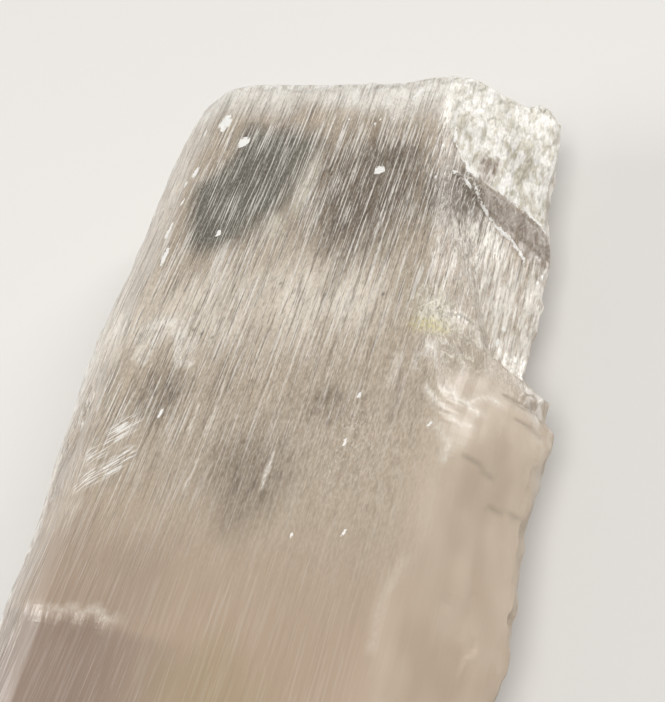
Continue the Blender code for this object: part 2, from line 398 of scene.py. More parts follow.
# %% [markdown]
# ## Cracks and seams
#
# Some cracks stand up as thin white ridges, and some are dark seams that are cut in. The feather is a
# fan of small splinters on the left edge, where a chip was struck off. Each is a bent line with a half
# width in millimetres, and a crack or seam has a height too, which is below 0 for a seam.

# %% Cracks and seams
UPPER_CRACK = (
    (12.1, 34.8),
    (13.2, 34.6),
    (14.1, 34.0),
    (15.0, 32.9),
    (15.9, 31.9),
    (17.2, 30.9),
    (18.5, 29.9),
    (19.6, 28.6),
)
CORNER_CRACK = ((11.1, 40.3), (11.6, 38.2), (12.4, 37.0), (13.2, 35.9), (14.0, 34.9))
CROOKED_CRACK = ((-12.4, 12.8), (-10.5, 13.7), (-9.8, 13.4), (-8.6, 11.4), (-8.1, 9.6), (-6.9, 9.3))
SIDE_SEAM = ((21.7, 1.4), (23.0, 1.8), (24.6, 2.3))
LUMP_SEAM = ((21.2, 12.1), (22.9, 11.9), (24.4, 11.4))
SHOULDER_SEAM = ((22.3, 10.3), (23.3, 10.1), (24.4, 9.6))
LEDGE_SEAM = ((14.3, 18.0), (15.4, 18.1), (16.3, 18.6), (17.0, 18.4), (17.6, 18.2))
BLOCK_SEAM = ((19.6, 4.1), (20.6, 4.2), (21.6, 3.9))
CRACKS = (
    (UPPER_CRACK, 0.36, 0.2),
    (CORNER_CRACK, 0.25, 0.08),
    (CROOKED_CRACK, 0.4, 0.05),
    (SIDE_SEAM, 0.4, -0.06),
    (LUMP_SEAM, 0.4, -0.1),
    (SHOULDER_SEAM, 0.4, -0.06),
    (LEDGE_SEAM, 0.25, -0.05),
    (BLOCK_SEAM, 0.4, -0.05),
)
FEATHER = (
    (((-10.0, 2.5), (-11.0, 1.3), (-12.4, -1.0)), 1.3),
    (((-9.0, -0.4), (-10.3, -2.2), (-12.5, -3.6)), 1.1),
)


def shell_marks(x, y):
    """Rings of a thumbnail-shaped break, and the ripples beside the lower ledge."""
    from_middle = np.hypot(x - 18.8, y - 11.6)
    rings = 0.02 * np.sin(2.0 * np.pi * from_middle / 0.9 + 1.5 * noise_2d(x, y, 1.2, 1.2, seed=77))
    ripples = 0.03 * noise_2d(x, y, 0.8, 0.6, seed=78)
    rings_here = smooth(1.6 - np.hypot((x - 17.2) / 2.0, (y - 9.0) / 2.0))
    ripples_here = smooth(1.6 - np.hypot((x - 16.4) / 2.0, (y - 15.8) / 2.6))
    return rings * rings_here + ripples * ripples_here


def crack_relief(x, y):
    return sum(tall * line_share(x, y, line, half_width) for line, half_width, tall in CRACKS)


print("cracks and seams:", len(CRACKS), "and splinter fans:", len(FEATHER))

# %% [markdown]
# ## Striations
#
# The grooves run parallel to Y and never cross. Each one has a finite length, so the height is noise
# across X, faded in and out along Y. Three sizes of groove are laid over one another.

# %% Striations
RIDGES = ((1.7, 0.035, 16.0, 7), (0.85, 0.035, 9.0, 8), (0.45, 0.035, 6.0, 9))
SMOOTH_BELOW = -10.0


def striations(x, y):
    height = np.zeros_like(x)
    for pitch, depth, length, seed in RIDGES:
        fading = 0.6 + 0.4 * noise_2d(x, y, 2.0 * pitch, length, seed=seed + 4)
        height += depth * noise(x, pitch, seed=seed) * fading
    return height * (0.35 + 0.65 * smooth((y - SMOOTH_BELOW) / 12.0))


def fibres(x, y):
    """The rougher, shorter grooves of the broken face."""
    coarse = noise(x + 0.03 * y, 1.1, seed=17) * (0.6 + 0.4 * noise_2d(x, y, 1.5, 5.0, seed=18))
    fine = noise_2d(x, y, 0.35, 2.4, seed=19)
    return FIBRE_HEIGHT * coarse + FINE_FIBRE_HEIGHT * fine


highest = sum(depth for pitch, depth, length, seed in RIDGES)
print("striations rise or fall by at most", round(highest, 3), "mm")


# %% [markdown]
# ## Front and back
#
# The front is a height field: flat in the middle, sloping to the band at each margin, with the ledges,
# grooves and pits added. The back is flat where the crystal rests, so it stays still on a table.

# %% Front and back heights
STAIRS = ((0.4, 2.1, 3), (0.15, 0.7, 5))
SWELL_HEIGHT = 0.15
SWELL_PITCH = (9.0, 14.0)
BLOCK_LUMP_HEIGHT = 0.2
BLOCK_LUMP_PITCH = (1.1, 1.9)
MARGIN_LUMP_HEIGHT = 0.16
MARGIN_LUMP_PITCH = (0.9, 2.4)
BACK_GROOVES = ((0.5, 2.6, 0.25, 41), (0.12, 0.8, 0.0, 42))
BACK_GROOVE_LENGTH = 22.0


def bevel_share(x, y):
    """0 on the flat front, rising to 1 at the margins: a round shoulder on the left, an edge on the right."""
    left = (left_edge(y) - x) / (left_edge(y) - rounded(LEFT_MARGIN, y))
    right = (x - right_edge(y)) / (rounded(RIGHT_MARGIN, y) - right_edge(y))
    left = np.clip(left, 0.0, 1.05) ** SHOULDER_POWER
    return np.maximum(left, np.clip(soft_positive(right, EDGE_SOFTNESS), 0.0, 1.05))


def end_rounding(x, y):
    """How far the front and back faces draw in close to the two ends."""
    to_upper = np.maximum(along(UPPER_EDGE, x) - y, 0.0)
    to_base = np.maximum(y - along(BASE_EDGE, x), 0.0)
    inside = np.clip(1.0 - np.minimum(to_upper, to_base) / EDGE_ROUNDING, 0.0, 1.0)
    return EDGE_ROUNDING * (1.0 - np.sqrt(1.0 - 0.9 * inside * inside))


def margin_share(x, y):
    """1 at the left margin, where the surface is lumpy, falling to 0 a few millimetres inside it."""
    return smooth(1.3 - (x - rounded(LEFT_MARGIN, y)) / 3.4)


def front_height(x, y):
    share = bevel_share(x, y)
    stairs = waves(x, STAIRS) * smooth(share * 4.0) * (1.0 - smooth(share)) * (1.0 - 0.7 * lower_block(x, y))
    hollow = hollow_share(x, y)
    height = THICKNESS - (THICKNESS - BAND_TOP) * share + stairs
    height += striations(x, y) * (1.0 - hollow) + crack_relief(x, y) + shell_marks(x, y)
    height += bumps(x, y, LUMPS, 0.06) - bumps(x, y, PITS) - bumps(x, y, CHIPS)
    height += SWELL_HEIGHT * noise_2d(x, y, *SWELL_PITCH, seed=31) * smooth(share * 3.0)
    height += BLOCK_LUMP_HEIGHT * noise_2d(x, y, *BLOCK_LUMP_PITCH, seed=33) * upper_block(x, y)
    height += MARGIN_LUMP_HEIGHT * noise_2d(x, y, *MARGIN_LUMP_PITCH, seed=34) * margin_share(x, y)
    height -= hollow * (HOLLOW_DEPTH + fibres(x, y))
    return height - left_step(x, y) - end_rounding(x, y)


def back_height(x, y):
    left_inner = along(LEFT_MARGIN, y) + BACK_BEVEL_WIDTH
    right_inner = along(RIGHT_MARGIN, y) - BACK_BEVEL_WIDTH
    share = np.clip(np.maximum(left_inner - x, x - right_inner) / BACK_BEVEL_WIDTH, 0.0, 1.0)
    groove = 0.0
    for depth, pitch, gap, seed in BACK_GROOVES:
        groove = groove + depth * np.maximum(noise(x, pitch, seed) - gap, 0.0)
    groove *= np.maximum(noise_2d(x, y, 5.0, BACK_GROOVE_LENGTH, seed=43) + 0.3, 0.0)
    return BAND_BOTTOM * share + groove + end_rounding(x, y)


# %% [markdown]
# ## The lattice
#
# Grooves this fine could be sculpted, or left to a bump in the material, but then the outline would stay
# smooth. Here each point of a divided box is moved to its place on the crystal. The rows lie closer where
# the surface is rough, and they slant along the two ledges, so that the ledges come out crisp.

# %% Place the lattice
LEFT_MARGIN_WAVES = ((0.12, 0.9, 81), (0.18, 2.6, 82))
RIGHT_MARGIN_WAVES = ((0.12, 0.9, 83), (0.18, 2.6, 84))
FINE_ROWS_FROM = 6.0
ROW_SHARES = (0.0, 0.138, 0.395, 1.0)
ROW_PLACES = (BASE_END, -18.0, FINE_ROWS_FROM, UPPER_END)
STRAIGHT_HALF_WIDTH = 8.0
SLANT = 0.5
SLANT_FROM = 13.0
SLANT_FULL_ROW = 35.0
BASE_REACH = 20.0
UPPER_REACH = 14.0


def across(share, y):
    """The offset of a lattice column: straight down the middle, and fitted to the margins outside."""
    stops = (0.0, 0.19, 0.32, 0.62, 0.74, 1.0)
    places = (
        along(LEFT_MARGIN, y) + waves(y, LEFT_MARGIN_WAVES),
        left_edge(y),
        np.full_like(y, -STRAIGHT_HALF_WIDTH),
        np.full_like(y, STRAIGHT_HALF_WIDTH),
        right_edge(y),
        along(RIGHT_MARGIN, y) + waves(y, RIGHT_MARGIN_WAVES),
    )
    x = places[0]
    for start, stop, near, far in zip(stops, stops[1:], places, places[1:]):
        part = np.clip((share - start) / (stop - start), 0.0, 1.0)
        x = x + part * (far - near)
    return x


def end_shapes(x, down):
    """Where the base and the upper end lie, at an offset and a share of the way down."""
    base = along(BASE_EDGE, x) + BASE_SLANT * (down - 0.5)
    base += BASE_SPLINTERS * noise_2d(x, down, 2.2, 0.25, seed=53)
    base += BASE_TEETH * noise(x, 0.7, seed=54) + BASE_FIBRES * noise_2d(x, down, 0.5, 0.12, seed=55)
    upper = along(UPPER_EDGE, x) - UPPER_UNDERCUT * down * down
    upper += UPPER_PITTING * noise_2d(x, down, 2.4, 0.3, seed=59) * smooth(down * 4.0)
    upper += UPPER_TEETH * noise(x, 0.9, seed=60) + UPPER_FIBRES * noise_2d(x, down, 0.5, 0.1, seed=62)
    return base, upper


def place(share_x, share_y, share_z):
    """Moves the points of the unit lattice to their places on the crystal, in millimetres."""
    row = np.interp(share_y, ROW_SHARES, ROW_PLACES)
    slanting = smooth((row - FINE_ROWS_FROM) / (SLANT_FULL_ROW - FINE_ROWS_FROM))
    slanting *= smooth((UPPER_END - row) / (UPPER_END - SLANT_FULL_ROW))
    beyond = soft_positive(across(share_x, row) - SLANT_FROM, 1.0)
    row_here = row - SLANT * slanting * beyond
    x = across(share_x, row_here)
    down = 1.0 - share_z
    base, upper = end_shapes(x, down)
    to_base = smooth(1.0 - (row - BASE_END) / BASE_REACH)
    to_upper = smooth(1.0 - (UPPER_END - row) / UPPER_REACH)
    y = row_here + to_base * (base - BASE_END) + to_upper * (upper - UPPER_END)
    low = back_height(x, y)
    high = front_height(x, y)
    z = low + share_z * (high - low)
    bulge = 4.0 * share_z * down * (1.0 + 0.7 * noise_2d(y, share_z, 3.0, 0.3, seed=61))
    outward = np.where(share_x > 0.9999, 1.0, 0.0) - np.where(share_x < 0.0001, 1.0, 0.0)
    return x + BAND_BULGE * bulge * outward, y, z


# %% [markdown]
# The box has many narrow columns, because the grooves are narrow across and long along the crystal. The
# back has only broad grooves, so most of its edges are dissolved to keep the mesh light.

# %% Build the crystal's mesh
COLUMNS = 372
ROWS = 210
LAYERS = 6
BACK_COLUMNS_STEP = 3
BACK_ROWS_STEP = 2


def edge_run(edge):
    return edge.verts[1].co - edge.verts[0].co


def divided_box(columns, rows, layers):
    """A unit box whose faces are divided into a lattice, from 0 to 1 along each axis."""
    box = bmesh.new()
    bmesh.ops.create_cube(box, size=1.0)
    bmesh.ops.translate(box, verts=box.verts, vec=(0.5, 0.5, 0.5))
    for axis, parts in enumerate((columns, rows, layers)):
        lengthwise = [edge for edge in box.edges if abs(edge_run(edge)[axis]) > 0.9]
        bmesh.ops.subdivide_edges(box, edges=lengthwise, cuts=parts - 1, use_grid_fill=True)
    return box


def thin_out_back(box):
    """Takes away two in three columns and every other row of the back, which has only broad grooves."""
    spare = []
    for edge in box.edges:
        start, end = (vert.co for vert in edge.verts)
        if max(start.z, end.z) > 0.0:
            continue
        column = round(start.x * COLUMNS)
        row = round(start.y * ROWS)
        along_y = abs(start.x - end.x) < abs(start.y - end.y)
        if along_y and column % BACK_COLUMNS_STEP or not along_y and row % BACK_ROWS_STEP:
            spare.append(edge)
    bmesh.ops.dissolve_edges(box, edges=spare, use_verts=True)


box = divided_box(COLUMNS, ROWS, LAYERS)
thin_out_back(box)
mesh = bpy.data.meshes.new("crystal_body")
box.to_mesh(mesh)
box.free()
lattice = np.empty(len(mesh.vertices) * 3)
mesh.vertices.foreach_get("co", lattice)
x, y, z = place(*lattice.reshape(-1, 3).T)
cad_low, cad_high = (np.array(corner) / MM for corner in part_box("crystal"))
points = np.column_stack((x, y, z))
middle = (points.min(axis=0) + points.max(axis=0)) / 2.0
shift = (cad_low + cad_high) / 2.0 - middle
shift[2] = -points[:, 2].min()
mesh.vertices.foreach_set("co", ((points + shift) * MM).ravel())
mesh.update()
crystal = bpy.data.objects.new("crystal_body", mesh)
bpy.context.scene.collection.objects.link(crystal)
triangles = sum(len(face.vertices) - 2 for face in mesh.polygons)
print("crystal:", triangles, "triangles, shifted by", np.round(shift, 3), "mm")

# %% [markdown]
# ## Masks
#
# The clear window, the cloudy bands, the creamy broken side and the white chips are places on the
# crystal. They could be painted on an unwrapped image, but a picture can't follow a change of shape. Here
# each is a number between 0 and 1 at every point of the mesh, worked out from where the point lies, and
# the material reads it by name.

# %% Helpers for masks
WANDER_X, WANDER_Y = 0.9, 1.4
WANDER_PITCH = (2.6, 5.0)


def spot(x, y, place_x, place_y, half_width, half_length, softness=1.0):
    """1 at the middle of an oval place, falling softly to 0 at its edge."""
    away = np.hypot((x - place_x) / half_width, (y - place_y) / half_length)
    return smooth((1.0 - away) / softness)


def spots(x, y, places):
    """The strongest of several spots, each with a place, two half sizes, a softness and a strength."""
    strongest = np.zeros_like(x)
    for *place_and_size, softness, strength in places:
        strongest = np.maximum(strongest, strength * spot(x, y, *place_and_size, softness))
    return strongest


def inside(x, y, corners, softness):
    """1 inside a place whose corners run anticlockwise, falling to 0 across its border."""
    share = np.ones_like(x)
    for (start_x, start_y), (end_x, end_y) in zip(corners, corners[1:] + corners[:1]):
        run_x = end_x - start_x
        run_y = end_y - start_y
        away = (run_x * (y - start_y) - run_y * (x - start_x)) / math.hypot(run_x, run_y)
        share = np.minimum(share, smooth(away / softness + 0.5))
    return share


def store(name, values):
    """Keeps one number for each point of the crystal's mesh."""
    made = mesh.attributes.new(name, "FLOAT", "POINT")
    made.data.foreach_set("value", np.clip(values, 0.0, 1.0).astype(np.float32))
    print("mask", name, "covers", round(float(values.mean()), 3))


wander_x = x + WANDER_X * noise_2d(x, y, *WANDER_PITCH, seed=91)
wander_y = y + WANDER_Y * noise_2d(x, y, *WANDER_PITCH, seed=92)
front = smooth((lattice[2::3] - 0.5) * 4.0)

# %% [markdown]
# ### The clear window, the bands and the clouds
#
# Real bands are sheets of tiny flaws deep inside the blade. They could be modelled as inner surfaces, but
# those are slow to render and hard to export. Soft spots with wandering borders look the same from
# outside. A brown or milky spot has a place, its half sizes, its softness and its strength. The clear
# window is painted dark grey: painted shade, standing in for the dark seen through the clear crystal.

# %% Window, bands and clouds
WINDOW_LEFT = (
    (22.0, -12.4),
    (23.2, -12.8),
    (26.3, -13.5),
    (30.2, -13.9),
    (32.1, -12.6),
    (35.0, -11.7),
    (40.0, -11.8),
)
WINDOW_RIGHT = (
    (22.0, -8.0),
    (23.5, -6.3),
    (26.8, -4.7),
    (29.6, -3.1),
    (32.7, -2.6),
    (36.4, -2.3),
    (38.9, -4.8),
    (40.5, -11.0),
)
BROWN_SPOTS = (
    (4.6, 31.0, 8.8, 12.2, 0.7, 1.0),
    (-8.8, 5.8, 3.6, 5.4, 0.9, 0.55),
    (2.5, -0.6, 6.4, 7.5, 0.9, 0.6),
    (7.5, 6.5, 4.0, 4.5, 0.9, 0.45),
    (12.8, 31.6, 5.4, 6.0, 0.7, 0.95),
)
MILK_SPOTS = (
    (-2.4, 30.4, 1.5, 5.6, 0.8, 1.0),
    (-4.4, 25.4, 1.8, 2.4, 0.8, 0.9),
)
CLOUD_MIDDLE = 16.9
CLOUD_TILT = 0.2
CLOUD_SPREAD = 4.2

window_x = 0.5 * (x + wander_x)
window_y = 0.5 * (y + wander_y)
# The window is painted shade: dark grey where the crystal is clear and shade shows through it.
window_painted_shade = smooth((window_x - along(WINDOW_LEFT, window_y)) / 2.8 + 0.5)
window_painted_shade *= smooth((along(WINDOW_RIGHT, window_y) - window_x) / 5.2 + 0.5)
window_painted_shade *= smooth((window_y - 20.6) / 3.4) * smooth((42.6 - window_y) / 6.0)
brown = spots(wander_x, wander_y, BROWN_SPOTS)
milk = spots(wander_x, wander_y, MILK_SPOTS)
cloud = np.exp(-(((wander_y - CLOUD_MIDDLE - CLOUD_TILT * x) / CLOUD_SPREAD) ** 2))
cloud *= smooth((12.5 - x) / 6.0)
store("window_painted_shade", window_painted_shade * front)
store("brown", brown * front)
store("milk", milk * front)
store("cloud", cloud)

# %% [markdown]
# ### Painted light on the rims and the upper end, and the smooth lower part
#
# The rims, the left prism face and the upper end are painted pale, as painted highlights where the light
# falls on them, with painted shade between the lumps of the rims. The lower part is warmer and smoother,
# with painted shade below the growth step and on the lower left prism face, and a yellowish patch in the
# middle. Each mask follows a line of the outline, so it stays on its edge when the outline is changed.

# %% Rims, block and shaded places
# How strongly the left prism face is painted with light, along the crystal.
BEVEL_LIGHT_STRENGTH = ((-44.0, 0.1), (-8.0, 0.1), (4.0, 0.2), (14.0, 0.85), (46.0, 0.85))
RIM_WIDTH = ((-44.0, 1.6), (0.0, 2.6), (20.0, 2.4), (46.0, 3.2))
RIGHT_RIM_WIDTH = 1.2
RIGHT_RIM_STRENGTH = ((4.0, 0.12), (13.0, 0.7))
UPPER_RIM_WIDTH = 1.8

# Painted light on the left prism face, stronger toward the upper end.
lit_bevel = smooth((left_edge(y) - 0.2 - wander_x) / 4.0) * along(BEVEL_LIGHT_STRENGTH, y)
# A painted highlight on the upper end, where light from above and behind falls.
upper_end_highlight = smooth((wander_y - 39.6) / 4.6)
# The rims carry painted highlights on their lumps and painted shade between them.
left_rim = smooth(1.0 - (x - rounded(LEFT_MARGIN, y)) / along(RIM_WIDTH, y)) * smooth((y + 28.0) / 12.0)
right_rim = smooth(1.0 - (rounded(RIGHT_MARGIN, y) - x) / RIGHT_RIM_WIDTH) * along(RIGHT_RIM_STRENGTH, y)
upper_rim = smooth(1.0 - (along(UPPER_EDGE, x) - y) / UPPER_RIM_WIDTH)
block = lower_block(wander_x, wander_y)
# Painted shade: darker below the growth step, toward the lower left, and on the lower left prism face.
shade = smooth((left_step_line(x) - y) / 1.4) * smooth((7.0 - wander_x) / 14.0)
shade = np.maximum(shade, 0.4 * smooth((-5.0 - wander_y) / 6.0) * smooth((2.0 - wander_x) / 7.0))
shade = np.maximum(shade, 0.65 * spot(wander_x, wander_y, -16.8, -1.0, 3.8, 7.5, 0.9))
store("lit_bevel", lit_bevel)
store("upper_end_highlight", upper_end_highlight)
store("rim_light_and_shade", np.maximum(np.maximum(left_rim, right_rim), upper_rim))
store("block", block * front)
store("shade", shade * front)
store("lower", smooth((2.0 - y) / 18.0))
store("khaki", spot(wander_x, wander_y, 5.5, -19.0, 9.0, 7.0, 0.9) * front)

# %% [markdown]
# ### The broken side
#
# Above the upper ledge the block is creamy with frost, apart from two clear facets. Below it a clear
# riser drops to the fibrous face. The clear facets and the riser are painted darker, as painted shade for
# what is seen through them. Beside the lower ledge the break is shelly, with a cream patch and a yellow
# stain of iron, and its slope is painted darker, as painted shade that tones down the light it catches
# from behind. The borders are sharp here, because each one is an edge of the shape.

# %% The broken side
CLEAR_FACETS = (
    ((13.8, 38.7), (14.4, 34.9), (14.9, 35.1), (14.95, 38.2)),
    ((15.2, 39.0), (14.95, 34.9), (15.35, 34.9), (15.75, 38.4)),
)
FIBROUS_LEFT = ((13.0, 11.6), (26.0, 11.2), (31.0, 12.6))
FIBROUS_TOP = ((10.5, 28.5), (13.0, 30.5), (16.0, 32.0), (20.0, 29.0))
SHELLY_LINE = ((12.6, 20.0), (14.8, 16.6), (17.2, 13.2))
SHELLY_REACH = 2.4

upper_side = smooth(past_ledge(x, y, UPPER_LEDGE) / 0.5 + 0.5)
facets = sum(inside(x, y, corners, 0.2) for corners in CLEAR_FACETS)
riser = (1.0 - upper_side) * smooth((y - along(UPPER_CRACK, x)) / 0.5) * smooth((x - 14.6) / 0.8)
# The clear facets and the riser are painted darker, as painted shade for what is seen through them.
clear = np.maximum(facets, riser)
creamy = upper_block(x, y) * (1.0 - 0.95 * facets)
fibrous = smooth((x - along(FIBROUS_LEFT, y)) / 1.6)
fibrous *= (1.0 - upper_side) * (1.0 - riser) * smooth(past_ledge(x, y, LOWER_LEDGE) / 1.2)
fibrous *= smooth((along(FIBROUS_TOP, x) - wander_y) / 2.5)
cream_patch = 0.9 * spot(wander_x, wander_y, 14.3, 19.0, 3.0, 3.8, 0.9)
cream_patch = np.maximum(cream_patch, 0.25 * spot(x, y, 16.6, 9.2, 1.4, 0.9, 0.7))
# The slope beside the lower ledge is painted darker, as painted shade against the light it catches from
# behind.
ledge = smooth(1.3 - from_line(wander_x, wander_y, SHELLY_LINE) / SHELLY_REACH)
store("creamy", creamy * front)
store("clear", clear * front)
store("fibrous", fibrous * front)
store("cream_patch", cream_patch * front)
store("stain", spot(wander_x, wander_y, 14.0, 16.5, 2.1, 1.7, 0.9) * front)
store("ledge", ledge * front)

# %% [markdown]
# ### Chips, scuffs and cracks
#
# Broken kunzite is white, because light scatters in its many small cracks. The chips are where the shape
# has them, and the cracks follow the same lines as their ridges, with gaps. Scuffs are too shallow to
# model, so they are only colour.

# %% Chips, scuffs and cracks
SCUFFS = (
    (6.1, 44.3, 0.7, 1.0),
    (0.7, 40.0, 0.25, 0.3),
    (2.2, 39.5, 0.35, 0.3),
    (2.8, 40.2, 0.2, 0.3),
    (3.6, 38.5, 0.3, 0.3),
    (5.4, 41.4, 0.5, 0.3),
    (10.9, 33.3, 0.25, 0.35),
    (10.6, 38.1, 0.3, 0.5),
    (16.6, 6.4, 0.3, 0.3),
    (14.9, 3.6, 0.2, 0.3),
    (10.2, 7.4, 0.3, 0.5),
    (10.6, 4.4, 0.25, 0.3),
    (10.4, 3.5, 0.25, 0.6),
    (11.1, 2.5, 0.2, 0.2),
    (14.7, 1.9, 0.3, 0.4),
    (13.0, -0.7, 0.25, 0.25),
    (12.6, -4.3, 0.16, 0.2),
    (8.7, -5.6, 0.16, 0.2),
    (6.2, -8.1, 0.16, 0.2),
    (-8.3, 4.0, 0.3, 1.0),
    (18.6, 17.6, 0.35, 0.9),
    (18.9, 19.3, 0.5, 0.5),
)
SCUFF_SHARE = 0.8
CRACK_HEIGHT_SEEN = 0.06

chips = np.clip(bumps(x, y, CHIPS) * 14.0, 0.0, 1.0)
for place_x, place_y, half_width, half_length in SCUFFS:
    sizes_here = (SCUFF_SHARE * half_width, SCUFF_SHARE * half_length)
    chips = np.maximum(chips, spot(wander_x, wander_y, place_x, place_y, *sizes_here, 0.8))
broken = np.clip(0.75 + 0.7 * noise_2d(x, y, 0.45, 0.7, seed=93), 0.1, 1.0)
for line, half_width, tall in CRACKS:
    if tall > CRACK_HEIGHT_SEEN:
        chips = np.maximum(chips, broken * line_share(x, y, line, half_width))
ledge_rim = smooth(1.0 - np.abs(past_ledge(x, y, UPPER_LEDGE) - 0.15) / 0.3) * smooth((x - 15.6) / 1.0)
chips = np.maximum(chips, 0.8 * ledge_rim)
CRUMB_SPOTS = (
    (4.0, 43.4, 7.0, 2.2, 0.9, 0.8),
    (10.5, 3.5, 2.2, 7.0, 0.9, 0.3),
)
crumbs = np.maximum(spots(wander_x, wander_y, CRUMB_SPOTS), 0.6 * spot(x, y, 13.8, 35.2, 1.0, 1.6, 0.8))
store("chips", chips * front)
store("crumbs", crumbs * front)

# %% [markdown]
# ### Wisps, streaks and the feather
#
# Wisps are white marks with soft edges: long streaks along the grooves, the arcs of the shelly break, the
# crooked crack and the lip of the growth step, and painted glints on the left margin. Each arc is a bent
# line and a strength: a wide faint line with a narrow bright one on it, a painted highlight, looks like a
# small step that catches the light.

# %% Wisps, streaks and the feather
STREAKS = (
    (-2.5, 7.8, 5.5),
    (-4.1, 5.2, 2.6),
    (-2.4, 0.0, 2.8),
    (4.3, 1.7, 3.2),
    (1.5, 39.6, 3.0),
    (12.8, 26.0, 6.0),
    (14.2, 25.6, 5.2),
    (17.5, 27.6, 9.5),
    (20.3, 30.0, 3.4),
    (-11.0, 5.7, 2.8),
    (-12.0, 11.3, 2.4),
)
ARCS = (
    (((15.2, 14.8), (14.6, 13.6), (14.1, 12.4), (14.2, 11.2)), 0.6),
    (((15.4, 9.7), (16.3, 8.6), (17.3, 8.1)), 0.7),
    (((17.0, 14.1), (17.6, 13.2), (17.5, 12.3)), 0.5),
    (((17.4, 10.3), (18.1, 9.2), (20.1, 11.1), (20.9, 11.0)), 0.6),
    (((16.6, 6.4), (17.7, 5.6), (18.4, 4.7), (18.4, 3.3)), 0.45),
    (((15.6, 18.3), (16.5, 18.7), (17.2, 18.6), (17.6, 17.8), (18.3, 16.5)), 0.6),
    (((17.0, 10.0), (18.0, 9.4), (18.9, 9.5), (19.8, 8.8)), 0.7),
    (((18.0, 7.6), (18.8, 6.9), (19.5, 7.2)), 0.5),
    (((12.3, 12.4), (12.5, 10.4), (12.2, 9.0)), 0.4),
)
MARGIN_GLINT = ((-20.4, 4.6), (-19.8, 1.4), (-19.3, -1.7), (-19.0, -4.2))
LOWER_SMEAR = ((16.7, -6.5), (17.2, -12.0))
SHORT_WISPS = (
    ((-11.1, 11.8), (-11.3, 8.8)),
    ((-12.5, 12.3), (-12.4, 9.4)),
    ((-8.4, 12.6), (-7.2, 10.6)),
)
WISP_SPOTS = (
    (-10.0, 12.0, 2.0, 2.2, 0.9, 0.6),
    (18.6, 11.0, 3.0, 1.2, 0.9, 0.15),
)
# A white patch and a painted glint on the left margin.
MARGIN_SPOTS = (
    (-20.2, 15.6, 1.6, 2.8, 0.8, 0.9),
    (-20.6, 10.8, 1.3, 2.6, 0.8, 0.5),
)
STEP_WHITE = ((-12.0, 0.0), (-10.0, 0.55), (-6.3, 0.7), (-5.0, 1.0), (-4.2, 0.5), (-2.6, 0.0))

wisps = np.maximum(spots(wander_x, wander_y, WISP_SPOTS), spots(x, y, MARGIN_SPOTS))
for place_x, place_y, length in STREAKS:
    line = ((place_x, place_y), (place_x, place_y - length))
    wisps = np.maximum(wisps, 0.9 * line_share(x, y, line, 0.2))
for line, strength in ARCS:
    wisps = np.maximum(wisps, 0.6 * strength * line_share(x, y, line, 0.75))
    wisps = np.maximum(wisps, 1.4 * strength * line_share(x, y, line, 0.3))
# A painted glint along the left margin.
wisps = np.maximum(wisps, 0.8 * line_share(x, y, MARGIN_GLINT, 1.0))
wisps = np.maximum(wisps, np.clip(1.6 * line_share(x, y, CROOKED_CRACK, 0.8), 0.0, 1.0))
step_line = smooth(1.0 - np.abs(y - left_step_line(x) + 0.1) / 0.6) * along(STEP_WHITE, x)
wisps = np.maximum(wisps, 0.7 * step_line)
wisps = np.maximum(wisps, 0.2 * line_share(wander_x, wander_y, LOWER_SMEAR, 0.8))
for line in SHORT_WISPS:
    wisps = np.maximum(wisps, 0.9 * line_share(x, y, line, 0.55))
feather = np.zeros_like(x)
for line, half_width in FEATHER:
    feather = np.maximum(feather, smooth(1.6 - 1.6 * from_line(x, y, line) / half_width))
store("wisps", wisps * front)
store("feather", feather * front)

# %% [markdown]
# ### Dark marks, grooves and grain
#
# Dirt and shadow gather in the seams, the specks and the lip under the upper edge. The grooves fade out
# toward the smooth lower part and on the clear faces, and a fine grain, painted as small highlights and
# shade, fades out toward the base.

# %% Dark marks, grooves and grain
DARK_STROKES = (
    ((-7.0, 6.4), (-8.2, 4.4)),
    ((-6.4, 6.8), (-6.9, 5.6)),
    ((2.2, -0.9), (1.9, -2.4)),
    ((3.5, -1.2), (3.2, -2.8)),
    ((4.8, -2.0), (4.5, -3.2)),
    ((13.0, 10.9), (13.3, 8.4), (13.4, 6.0)),
)
SPECKS = (
    (-7.7, 12.9),
    (-6.7, 12.6),
    (-5.5, 12.4),
    (-0.8, 19.0),
    (0.8, 18.1),
    (4.0, 18.1),
    (6.6, 17.5),
    (9.4, 18.6),
    (8.2, 5.1),
    (5.4, 0.9),
    (15.2, 22.5),
    (20.5, 17.3),
)
LIP_DEPTH = 1.2

dark = np.zeros_like(x)
for line in DARK_STROKES:
    dark = np.maximum(dark, 0.45 * line_share(x, y, line, 0.35))
for place_x, place_y in SPECKS:
    dark = np.maximum(dark, spot(x, y, place_x, place_y, 0.25, 0.28))
for line, half_width, tall in CRACKS:
    if tall < 0.0:
        dark = np.maximum(dark, 0.35 * line_share(x, y, line, half_width))
lip = along(UPPER_EDGE, x) - y - LIP_DEPTH - 0.4 * noise(x, 0.8, seed=94)
dark = np.maximum(dark, 0.4 * smooth(1.0 - np.abs(lip) / 0.3) * smooth(0.5 + noise(x, 1.6, seed=95)))

grooves = 0.12 + 0.88 * smooth((y + 11.0 - 0.8 * x) / 32.0)
grooves = np.maximum(grooves, 0.9 * smooth((left_edge(y) - wander_x) / 4.0)) * (1.0 - 0.8 * block)
grooves *= (1.0 - 0.7 * clear) * (1.0 - 0.7 * creamy) * (1.0 - 0.1 * window_painted_shade) * (1.0 - 0.35 * upper_end_highlight)
grain_share = smooth((y + 14.0) / 20.0) * (1.0 - block) * (1.0 - 0.6 * ledge)
store("dark", dark * front)
store("grooves", grooves * (0.3 + 0.7 * front))
store("grain", grain_share * front)

